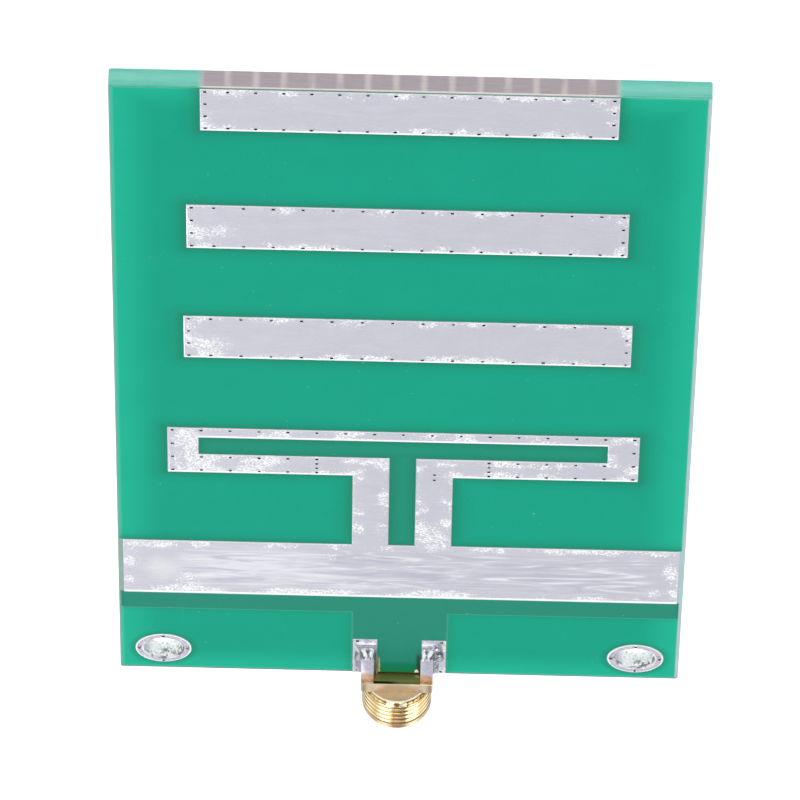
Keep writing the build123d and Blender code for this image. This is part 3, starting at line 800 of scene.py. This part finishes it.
def make_solder():
    """Hand-laid solder: lavender grey, dull and lumpy on the right pad, with painted highlights and shade on
    the legs' ends and specks of painted sparkle.
    """
    made, w, surface, vector = material("solder")
    x, y, z = w.xyz(vector)
    aside = w.apart(x, jack_x / MM)
    height = w.minus(w.apart(z, -board_thickness / 2), board_thickness / 2)
    rough_side = w.ramp(x, jack_x / MM + 2.9, jack_x / MM + 3.3)
    lumps = w.noise(vector, 2.4, roughness=0.65)
    dull = w.times(w.ramp(lumps, 0.45, 0.6), w.plus(w.times(rough_side, 0.6), 0.25))
    on_pad = w.ramp(w.plus(y, w.times(lumps, 0.6)), 4.2, 4.9)
    colour = w.tint(linear(148, 145, 158), (236, 234, 244), on_pad)
    colour = w.tint(colour, (104, 106, 114), dull)
    density = w.plus(w.times(rough_side, 0.4), 0.1)
    specks = w.group(frost_sparkle, vector=vector, grain=4.0, density=density).outputs["Mask"]
    colour = w.tint(colour, (250, 250, 255), specks)

    # Two painted highlights as bright strokes up each leg's end, and painted shade beside them
    place = w.plus(aside, w.uneven(vector, 1.7, 0.5, detail=2.0))
    outer = w.apart(place, w.ramp(height, 0.3, 1.05, *OUTER_STROKE, smooth=False))
    bowed = w.times(w.apart(height, 0.75), 0.5)
    inner = w.math("ABSOLUTE", w.plus(w.minus(place, INNER_STROKE), bowed))
    from_stroke = w.smallest(outer, inner)
    at_end = w.times(w.ramp(y, 3.9, 4.2), w.ramp(height, 0.36, 0.5))
    stroke_highlight = w.times(w.ramp(from_stroke, 0.2, 0.13), at_end)
    stroke_shade = w.times(w.ramp(from_stroke, 0.2, 0.27), at_end, w.ramp(aside, 3.5, 3.3))
    colour = w.tint(colour, (70, 60, 62), stroke_shade, 0.85)

    fillet = w.times(w.ramp(aside, 3.1, 3.3), w.ramp(y, 4.6, 4.2))
    rough = w.plus(w.times(dull, 0.25), w.plus(0.26, w.times(fillet, 0.2)))
    w.fill(surface, {
        "Base Color": w.tint(colour, (255, 255, 255), stroke_highlight),
        "Metallic": w.minus(0.85, w.plus(w.times(stroke_shade, 0.8), w.times(stroke_highlight, 0.45))),
        "Roughness": w.plus(rough, w.times(stroke_highlight, 0.1)),
        "Normal": bump(w, w.times(lumps, w.plus(w.times(rough_side, 0.9), 0.1)), 0.07),
    })
    return made


def make_insulator():
    """Milky fluoropolymer with faint cutter marks."""
    made, w, surface, vector = material("insulator")
    soft = mottled(w, vector, linear(238, 238, 232), 0.8, 0.03, 6.0, 0.02)
    w.fill(surface, {
        "Base Color": soft["Colour"],
        "Roughness": w.wandering(vector, 1.1, 0.35, 0.5),
        "Normal": bump(w, soft["Height"], 0.01),
    })
    return made


green_mask = make_green_mask()
laminate = make_laminate()
tin = make_tin()
hole_plating = make_plating()
via_shade = make_via_shade()
gold = make_gold()
solder = make_solder()
insulator = make_insulator()


def dress(node, made):
    """Gives a CAD node its material."""
    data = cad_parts[node].data
    data.materials.clear()
    data.materials.append(made)


dress("laminate", laminate)
dress("front_solder_mask", green_mask)
dress("rear_solder_mask", green_mask)
dress("jack_insulator", insulator)
dress("centre_contact", gold)


# Tinned conductors, with a rounded shoulder along their outline and vias in painted shade

def outer_level(node, outward):
    """The height of a node's face on one side of the board."""
    low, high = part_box(node)
    return high.z if outward > 0 else low.z


def tinned_strip(node, outward):
    """A copy of a foil whose outer face slopes down to its outline."""
    face_level = outer_level(node, outward)
    bm = merged_copy(node)
    near_face = (0.6 * COPPER + DIMPLE_DEPTH / 2) * MM
    top = [f for f in bm.faces
           if all(abs(v.co.z - face_level) < near_face for v in f.verts) and abs(f.normal.z) > 0.5]
    # The dimples' floors take the via's painted shade
    for face in top:
        depth = abs(face.calc_center_median().z - face_level)
        face.material_index = 1 if depth > 0.01 * MM else 0
    for inset, drop in SHOULDER_STEPS:
        before = {v for f in top for v in f.verts}
        ring = bmesh.ops.inset_region(bm, faces=top, thickness=inset * MM, depth=0, use_even_offset=True,
                                      use_boundary=True)["faces"]
        for face in ring:
            face.smooth = True
        inner = {v for f in top for v in f.verts}
        for vert in before - inner:
            vert.co.z -= outward * drop * MM
    settle(linked(f"{node}_tin", bm, tin, via_shade), "tinned_copper", node)


def via_spots(node, outward):
    """The points over a conductor's vias, on its outer face, found from the bottoms of their dimples."""
    level = outer_level(node, outward)
    bottom = level - outward * DIMPLE_DEPTH * MM
    bm = merged_copy(node)
    spots = [Vector((v.co.x, v.co.y, level)) for v in bm.verts if abs(v.co.z - bottom) < 0.002 * MM]
    bm.free()
    return spots


def grown_by(tree, name, bm, values):
    """A new piece from a tree, with its inputs set by their sockets' identifiers, as a plain mesh."""
    piece = linked(name, bm)
    modifier = piece.modifiers.new(tree.name, "NODES")
    modifier.node_group = tree
    for item in tree.interface.items_tree:
        if item.in_out == "INPUT" and item.name in values:
            modifier[item.identifier] = values[item.name]
    return baked(piece)


def make_via_tree():
    """A raised tin rim round a bowl in painted shade at each point, turned and sized a little at random."""
    tree, w, given, out = empty_tree("vias", {
        GEOMETRY: "Points", FLOAT: "Radius, Tube, Depth, Lift, Tilt", INTEGER: "Seed", MATERIAL: "Rim, Bowl",
    }, {GEOMETRY: "Geometry"}, "GeometryNodeTree")
    ring = w.add("GeometryNodeCurvePrimitiveCircle", {"Resolution": VIA_STEPS, "Radius": given["Radius"]})
    tube = w.add("GeometryNodeCurvePrimitiveCircle", {"Resolution": VIA_TUBE_STEPS, "Radius": given["Tube"]})
    rim = w.add("GeometryNodeCurveToMesh", {"Curve": ring, "Profile Curve": tube})
    rim = w.add("GeometryNodeSetMaterial", {"Geometry": rim, "Material": given["Rim"]})
    disc = w.add("GeometryNodeMeshCircle", {"Vertices": VIA_STEPS, "Radius": given["Radius"]},
                 fill_type="TRIANGLE_FAN")
    position = w.add("GeometryNodeInputPosition")
    far = w.add("ShaderNodeVectorMath", {0: position}, operation="LENGTH").outputs["Value"]
    middle = w.math("LESS_THAN", far, w.times(given["Radius"], 0.5))
    sink = w.add("ShaderNodeCombineXYZ", {"Z": w.times(given["Depth"], -1.0)})
    bowl = w.add("GeometryNodeSetPosition", {"Geometry": disc, "Selection": middle, "Offset": sink})
    bowl = w.add("GeometryNodeSetMaterial", {"Geometry": bowl, "Material": given["Bowl"]})
    both = w.add("GeometryNodeJoinGeometry")
    for part in (rim, bowl):
        w.feed(both.inputs[0], part)
    lift = w.add("ShaderNodeCombineXYZ", {"Z": given["Lift"]})
    raised = w.add("GeometryNodeTransform", {"Geometry": both, "Translation": lift})
    turn = w.add("FunctionNodeRandomValue", {"Seed": given["Seed"], 3: math.tau}, data_type="FLOAT")
    size = w.add("FunctionNodeRandomValue",
                 {"Seed": w.plus(given["Seed"], 1.0), 2: VIA_SIZES[0], 3: VIA_SIZES[1]}, data_type="FLOAT")
    rotation = w.add("ShaderNodeCombineXYZ", {"X": given["Tilt"], "Z": turn.outputs[1]})
    placed = w.add("GeometryNodeInstanceOnPoints", {
        "Points": given["Points"], "Instance": raised, "Rotation": rotation, "Scale": size.outputs[1],
    })
    w.feed(out[0], w.add("GeometryNodeRealizeInstances", {0: placed}))
    return tree


def make_thread_tree():
    """The outside of the barrel: plain neck, right-handed thread, plain end and chamfered mouth."""
    tree, w, given, out = empty_tree("turned thread", {
        FLOAT: "Length, Crest, Root, Pitch, Phase, Neck Radius, Neck Length, Thread End, Chamfer, "
               "Axis X, Front Y, Axis Z",
        INTEGER: "Steps Round, Steps Along", MATERIAL: "Material",
    }, {GEOMETRY: "Geometry"}, "GeometryNodeTree")
    grid = w.add("GeometryNodeMeshGrid", {
        "Size X": 1.0, "Size Y": 1.0, "Vertices X": given["Steps Along"], "Vertices Y": given["Steps Round"],
    })
    x, y, _ = w.xyz(w.add("GeometryNodeInputPosition"))
    along = w.times(w.plus(x, 0.5), given["Length"])
    turns = w.plus(y, 0.5)
    phase = w.math("FRACT", w.plus(w.math("DIVIDE", along, given["Pitch"]), turns, given["Phase"]))
    tooth = w.times(w.apart(phase, 0.5), 2.0)
    cut = w.ramp(tooth, *THREAD_FLANK, given["Root"], given["Crest"], smooth=False)
    cut = w.ramp(along, given["Thread End"], w.plus(given["Thread End"], 0.2 * MM), cut, given["Crest"])
    lead = w.ramp(along, given["Neck Length"], w.plus(given["Neck Length"], 0.12 * MM), given["Neck Radius"],
                  given["Crest"], smooth=False)
    to_end = w.minus(given["Length"], along)
    mouth = w.ramp(to_end, 0.0, given["Chamfer"], w.minus(given["Crest"], given["Chamfer"]), given["Crest"],
                   smooth=False)
    radius = w.smallest(cut, lead, mouth)
    angle = w.times(turns, math.tau)
    place = w.add("ShaderNodeCombineXYZ",
                  {"X": w.plus(w.times(radius, w.math("SINE", angle)), given["Axis X"]),
                   "Y": w.minus(given["Front Y"], along),
                   "Z": w.plus(w.times(radius, w.math("COSINE", angle)), given["Axis Z"])})
    wrapped = w.add("GeometryNodeSetPosition", {"Geometry": grid, "Position": place})
    closed = w.add("GeometryNodeMergeByDistance", {"Geometry": wrapped, "Distance": 0.001 * MM})
    dressed = w.add("GeometryNodeSetMaterial", {"Geometry": closed, "Material": given["Material"]})
    w.feed(out[0], dressed)
    return tree


def lathe(bm, profile, place):
    """Turns a profile of (along, radius) pairs into rings of faces. place(along, radius, angle) is a point."""
    rings = []
    for along, radius in profile:
        angles = (math.tau * step / ROUND_STEPS for step in range(ROUND_STEPS))
        rings.append([bm.verts.new(place(along, radius, angle)) for angle in angles])
    for ring, following in zip(rings, rings[1:]):
        for index in range(ROUND_STEPS):
            after = (index + 1) % ROUND_STEPS
            bm.faces.new((ring[index], ring[after], following[after], following[index]))


def lump(point, waves):
    """Height of soft noise at a point, from waves of (scale, height)."""
    return sum(noise.noise(point * scale) * height for scale, height in waves)


def smooth(piece, angle=35.0):
    """Shades a piece smoothly, apart from edges sharper than the angle in degrees."""
    piece.data.shade_smooth()
    piece.data.set_sharp_from_angle(angle=math.radians(angle))


def on_barrel(along, radius, angle):
    """A point at a distance along the barrel from the flange's front, in millimetres."""
    return Vector((jack_x + radius * math.sin(angle) * MM, flange_front_y - along * MM,
                   axis_z + radius * math.cos(angle) * MM))


def rounded(start, corner, end, size, steps=5):
    """Points that take a corner of a profile as an arc-like curve."""
    def towards(point):
        reach = max(math.dist(point, corner), size)
        return [c + (p - c) * size / reach for p, c in zip(point, corner)]

    near, far = towards(start), towards(end)
    shares = (step / steps for step in range(steps + 1))
    return [tuple((1 - t) ** 2 * n + 2 * t * (1 - t) * c + t ** 2 * f for n, c, f in zip(near, corner, far))
            for t in shares]


def make_jack():
    """Flange and legs with softened edges, and the threaded barrel turned in one with them."""
    bm = merged_copy("jack_body")
    cut = Vector((0, flange_front_y + 0.002 * MM, 0))
    bmesh.ops.bisect_plane(bm, geom=[*bm.verts, *bm.edges, *bm.faces], plane_co=cut, plane_no=(0, -1, 0),
                           clear_outer=True)
    bmesh.ops.dissolve_limit(bm, angle_limit=math.radians(0.5), verts=bm.verts, edges=bm.edges)
    tail = [v for v in bm.verts if v.co.y < cut.y + 0.001 * MM
            and math.hypot(v.co.x - jack_x, v.co.z - axis_z) < (INSULATOR_TAIL_RADIUS + 0.01) * MM]
    bore = [e for e in bm.edges if e.is_boundary and all(v in tail for v in e.verts)]
    outline = [e for e in bm.edges if e.is_boundary and e not in bore]
    bmesh.ops.bridge_loops(bm, edges=bore + outline)
    bmesh.ops.recalc_face_normals(bm, faces=bm.faces)
    flange = linked("flange", bm, gold)
    bevel = flange.modifiers.new("softened edges", "BEVEL")
    bevel.width = FLANGE_BEVEL * MM
    bevel.segments = 3
    bevel.limit_method = "ANGLE"
    bevel.angle_limit = math.radians(40)
    baked(flange)

    thread = grown_by(make_thread_tree(), "thread", bmesh.new(), {
        "Length": barrel_length * MM, "Crest": axis_z, "Root": THREAD_ROOT * MM, "Pitch": THREAD_PITCH * MM,
        "Phase": THREAD_PHASE, "Neck Radius": NECK_RADIUS * MM, "Neck Length": NECK_LENGTH * MM,
        "Thread End": THREAD_END * MM, "Chamfer": MOUTH_CHAMFER * MM, "Axis X": jack_x,
        "Front Y": flange_front_y, "Axis Z": axis_z, "Steps Round": ROUND_STEPS + 1,
        "Steps Along": THREAD_STEPS, "Material": gold,
    })
    crest = axis_z / MM
    reference = barrel_length - MOUTH_DEPTH
    lip_outer = (barrel_length, crest - MOUTH_CHAMFER)
    lip_inner = (barrel_length, MOUTH_RADIUS)
    bore_end = (reference, MOUTH_RADIUS)
    profile = [lip_outer, *rounded(lip_outer, lip_inner, bore_end, LIP_ROUNDING), bore_end,
               (reference, INSULATOR_RADIUS), (INSULATOR_SHOULDER, INSULATOR_RADIUS),
               (INSULATOR_SHOULDER, INSULATOR_TAIL_RADIUS), (0, INSULATOR_TAIL_RADIUS), (0, NECK_RADIUS)]
    bm = bmesh.new()
    bm.from_mesh(thread.data)
    lathe(bm, profile, on_barrel)
    bmesh.ops.remove_doubles(bm, verts=bm.verts, dist=0.002 * MM)
    bmesh.ops.recalc_face_normals(bm, faces=bm.faces)
    bm.from_mesh(flange.data)
    for part in (flange, thread):
        bpy.data.objects.remove(part)
    jack = linked("gilt_jack", bm, gold)
    smooth(jack)
    settle(jack, "gold_plate", "jack_body")


def make_hole_ring(side_name):
    """A plated hole: a tinned pad on each face, rounded over into a lumpy barrel."""
    node = f"hole_ring_{side_name}"
    low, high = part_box(node)
    centre = (low + high) / 2
    top = (high.z - low.z) / 2 / MM
    wall = top - COPPER
    edge, corner = (wall, HOLE_PAD_RADIUS), (top, HOLE_PAD_RADIUS)
    rim = (top, HOLE_RADIUS)
    outer_size, inner_size = HOLE_ROUNDINGS
    over = [edge, *rounded(edge, corner, rim, outer_size),
            *rounded(corner, rim, (-top, HOLE_RADIUS), inner_size)]
    under = [(-along, radius) for along, radius in reversed(over)]
    inside = [(top * (1 - 2 * step / HOLE_WALL_STEPS), HOLE_RADIUS) for step in range(2, HOLE_WALL_STEPS - 1)]
    back = [(-wall, HOLE_RADIUS + HOLE_WALL), (wall, HOLE_RADIUS + HOLE_WALL), edge]

    def on_hole(along, radius, angle):
        point = Vector((radius * math.cos(angle), radius * math.sin(angle), along))
        if radius < HOLE_RADIUS + 0.01:
            spread = 1 + min(lump(point, HOLE_LUMPS), 0.0) / radius
            point = Vector((point.x * spread, point.y * spread, along))
        return centre + point * MM

    bm = bmesh.new()
    lathe(bm, over + inside + under + back, on_hole)
    bmesh.ops.remove_doubles(bm, verts=bm.verts, dist=0.0005 * MM)
    bmesh.ops.recalc_face_normals(bm, faces=bm.faces)
    ring = linked(f"{node}_tin", bm, hole_plating)
    smooth(ring, 60)
    settle(ring, "tinned_copper", node)


def make_vias():
    """Rims and bowls over every via: on each face a piece for the conductors and one for the holes."""
    tree = make_via_tree()
    for face_name, outward, tilt in (("front", 1, 0.0), ("rear", -1, math.pi)):
        spots = [spot for node, side in FOILS.items() if side == outward for spot in via_spots(node, outward)]
        ring_spots = [spot for side in ("left", "right") for spot in via_spots(f"hole_ring_{side}", outward)]
        for name, points, lift in (("vias", spots, 0.0), ("hole_vias", ring_spots, HOLE_VIA_LIFT * MM)):
            bm = bmesh.new()
            for point in points:
                bm.verts.new(point)
            piece = grown_by(tree, f"{face_name}_{name}", bm, {
                "Radius": VIA_RIM_RADIUS * MM, "Tube": VIA_RIM_TUBE * MM, "Depth": VIA_BOWL_DEPTH * MM,
                "Lift": lift, "Tilt": tilt, "Seed": VIA_SEED, "Rim": tin, "Bowl": via_shade,
            })
            piece.data.shade_smooth()
            settle(piece, "tinned_copper")


def make_joint(node, lobes=()):
    """A solder joint: the CAD solid rounded by surface tension, with lobes (place, size, lean) in it."""
    bm = merged_copy(node)
    for place, size, lean in lobes:
        turned = Matrix.Translation(place) @ Matrix.Rotation(lean, 4, "X") @ Matrix.Diagonal((*size, 1.0))
        bmesh.ops.create_icosphere(bm, subdivisions=3, radius=1.0, matrix=turned)
    piece = linked(f"{node}_bead", bm, solder)
    remesh = piece.modifiers.new("one skin", "REMESH")
    remesh.mode = "VOXEL"
    remesh.voxel_size = JOINT_VOXEL * MM
    relax = piece.modifiers.new("surface tension", "SMOOTH")
    relax.factor = 0.6
    relax.iterations = 8
    baked(piece)
    normals = [vert.normal.copy() for vert in piece.data.vertices]
    for vert, normal in zip(piece.data.vertices, normals):
        aside, inland = abs(vert.co.x - jack_x) / MM, (vert.co.y - edge_y) / MM
        if lobes and aside > LEG_OUTSIDE and inland < FILLET_END:
            face = front_level if vert.co.z > axis_z else rear_level
            kept = FILLET_FOOT + (1 - FILLET_FOOT) * max(inland / FILLET_END, 0.0) ** 2
            vert.co.z = face + (vert.co.z - face) * kept
        point = vert.co / MM
        share = 1.0 if vert.co.x > jack_x + 2.9 * MM else SMOOTH_SHARE
        vert.co += normal * lump(point, SOLDER_LUMPS) * share * MM
    piece.data.shade_smooth()
    if not piece.data.materials:
        piece.data.materials.append(solder)
    settle(piece, "solder", node)


def leg_lobes(face_name, side_name):
    """Two upright runs of solder on a leg's end, and a low one that spreads towards the board's outside."""
    outward, side = {"front": 1, "rear": -1}[face_name], {"left": -1, "right": 1}[side_name]
    level = front_level if outward > 0 else rear_level
    lobes = []
    for x, y, z, size in (*LEG_LOBES, SPREAD_LOBE) if side > 0 else LEG_LOBES:
        place = Vector((jack_x + side * x * MM, edge_y + y * MM, level + outward * z * MM))
        lobes.append((place, Vector(size) * MM, outward * math.radians(LOBE_LEAN)))
    return lobes


FOILS = {
    "front_dipole": 1, "director_1_front": 1, "director_2_front": 1, "director_3_front": 1,
    "rear_dipole": -1, "director_1_rear": -1, "director_2_rear": -1, "director_3_rear": -1,
    "rear_feed_line": -1, "rear_pad_left": -1, "rear_pad_right": -1,
}
for foil_name, foil_side in FOILS.items():
    tinned_strip(foil_name, foil_side)

make_vias()
make_jack()
for side_name in ("left", "right"):
    make_hole_ring(side_name)
    for face_name in ("front", "rear"):
        make_joint(f"leg_solder_{face_name}_{side_name}", leg_lobes(face_name, side_name))
make_joint("tab_solder")


# Floor, light and camera

def make_floor():
    """A white table top that glows, so that it stays white all round the part."""
    made = bpy.data.materials.new("table_white")
    made.use_nodes = True
    Wiring(made.node_tree).fill(made.node_tree.nodes["Principled BSDF"].inputs, {
        "Base Color": (TABLE_GREY, TABLE_GREY, TABLE_GREY, 1), "Roughness": 0.9, "Specular IOR Level": 0.0,
        "Emission Color": (1, 1, 1, 1), "Emission Strength": TABLE_GLOW,
    })
    bm = bmesh.new()
    bmesh.ops.create_grid(bm, x_segments=1, y_segments=1, size=TABLE_SIZE)
    bmesh.ops.translate(bm, vec=(0, 0, cad_low.z - 0.01 * MM), verts=bm.verts)
    linked("table", bm, made)


def make_sky():
    """A pale studio: bright all round the horizon, dimmer overhead and above the camera."""
    world = bpy.data.worlds.new("studio")
    world.use_nodes = True
    bpy.context.scene.world = world
    w = Wiring(world.node_tree)
    horizon, high, overhead = SKY_LEVELS
    sideways, forward, height = w.xyz(w.add("ShaderNodeTexCoord").outputs["Generated"])
    level = w.ramp(height, 0.08, 0.5, horizon, high)
    level = w.ramp(height, 0.52, 0.85, level, overhead)
    behind = w.times(w.ramp(forward, 0.0, 0.5), w.ramp(height, 0.3, 0.5))
    level = w.times(level, w.minus(1.0, w.times(behind, 0.6)))
    low_glow = w.times(w.ramp(forward, 0.6, 0.9), w.ramp(height, 0.4, 0.3))
    off_middle = w.apart(sideways, 0.06)
    beside = w.times(w.ramp(off_middle, 0.08, 0.16), w.ramp(off_middle, 0.55, 0.4))
    level = w.plus(level, w.times(low_glow, beside, 1.6))
    shadowed = w.times(low_glow, w.ramp(off_middle, 0.16, 0.08))
    level = w.times(level, w.minus(1.0, w.times(shadowed, 0.75)))
    w.fill(world.node_tree.nodes["Background"].inputs, {"Color": w.scaled(SKY_TINT, level), "Strength": 1.0})


def make_softbox(name, place, size, power):
    """A square area light that faces the board."""
    light = bpy.data.lights.new(name, "AREA")
    light.shape = "SQUARE"
    light.size = size
    light.energy = power
    lamp = bpy.data.objects.new(name, light)
    lamp.location = place
    lamp.rotation_euler = (-Vector(place)).to_track_quat("-Z", "Y").to_euler()
    bpy.context.scene.collection.objects.link(lamp)


def make_camera():
    """Looks down at the front face from beyond the directors, with the jack at the bottom of the picture."""
    azimuth, elevation, roll = map(math.radians, (CAMERA_AZIMUTH, CAMERA_ELEVATION, CAMERA_ROLL))
    aside, inland = CAMERA_AIM
    aim = Vector(((board_low.x + board_high.x) / 2 + aside * MM, edge_y + inland * MM, front_level))
    forward = Vector((-math.sin(azimuth) * math.cos(elevation), math.cos(azimuth) * math.cos(elevation),
                      -math.sin(elevation)))
    level_right = forward.cross(Vector((0, 0, 1))).normalized()
    level_up = level_right.cross(forward)
    right = level_right * math.cos(roll) + level_up * math.sin(roll)
    up = right.cross(forward)
    data = bpy.data.cameras.new("camera")
    data.lens = CAMERA_LENS
    data.sensor_width = CAMERA_SENSOR
    data.clip_start, data.clip_end = CAMERA_CLIP
    camera = bpy.data.objects.new("camera", data)
    bpy.context.scene.collection.objects.link(camera)
    turn = Matrix((right, up, -forward)).transposed().to_4x4()
    camera.matrix_world = Matrix.Translation(aim - forward * CAMERA_DISTANCE) @ turn
    bpy.context.scene.camera = camera


make_floor()
make_sky()
for softbox in SOFTBOXES:
    make_softbox(*softbox)
make_camera()
bpy.context.scene.view_settings.view_transform = "Standard"

bpy.context.view_layer.update()
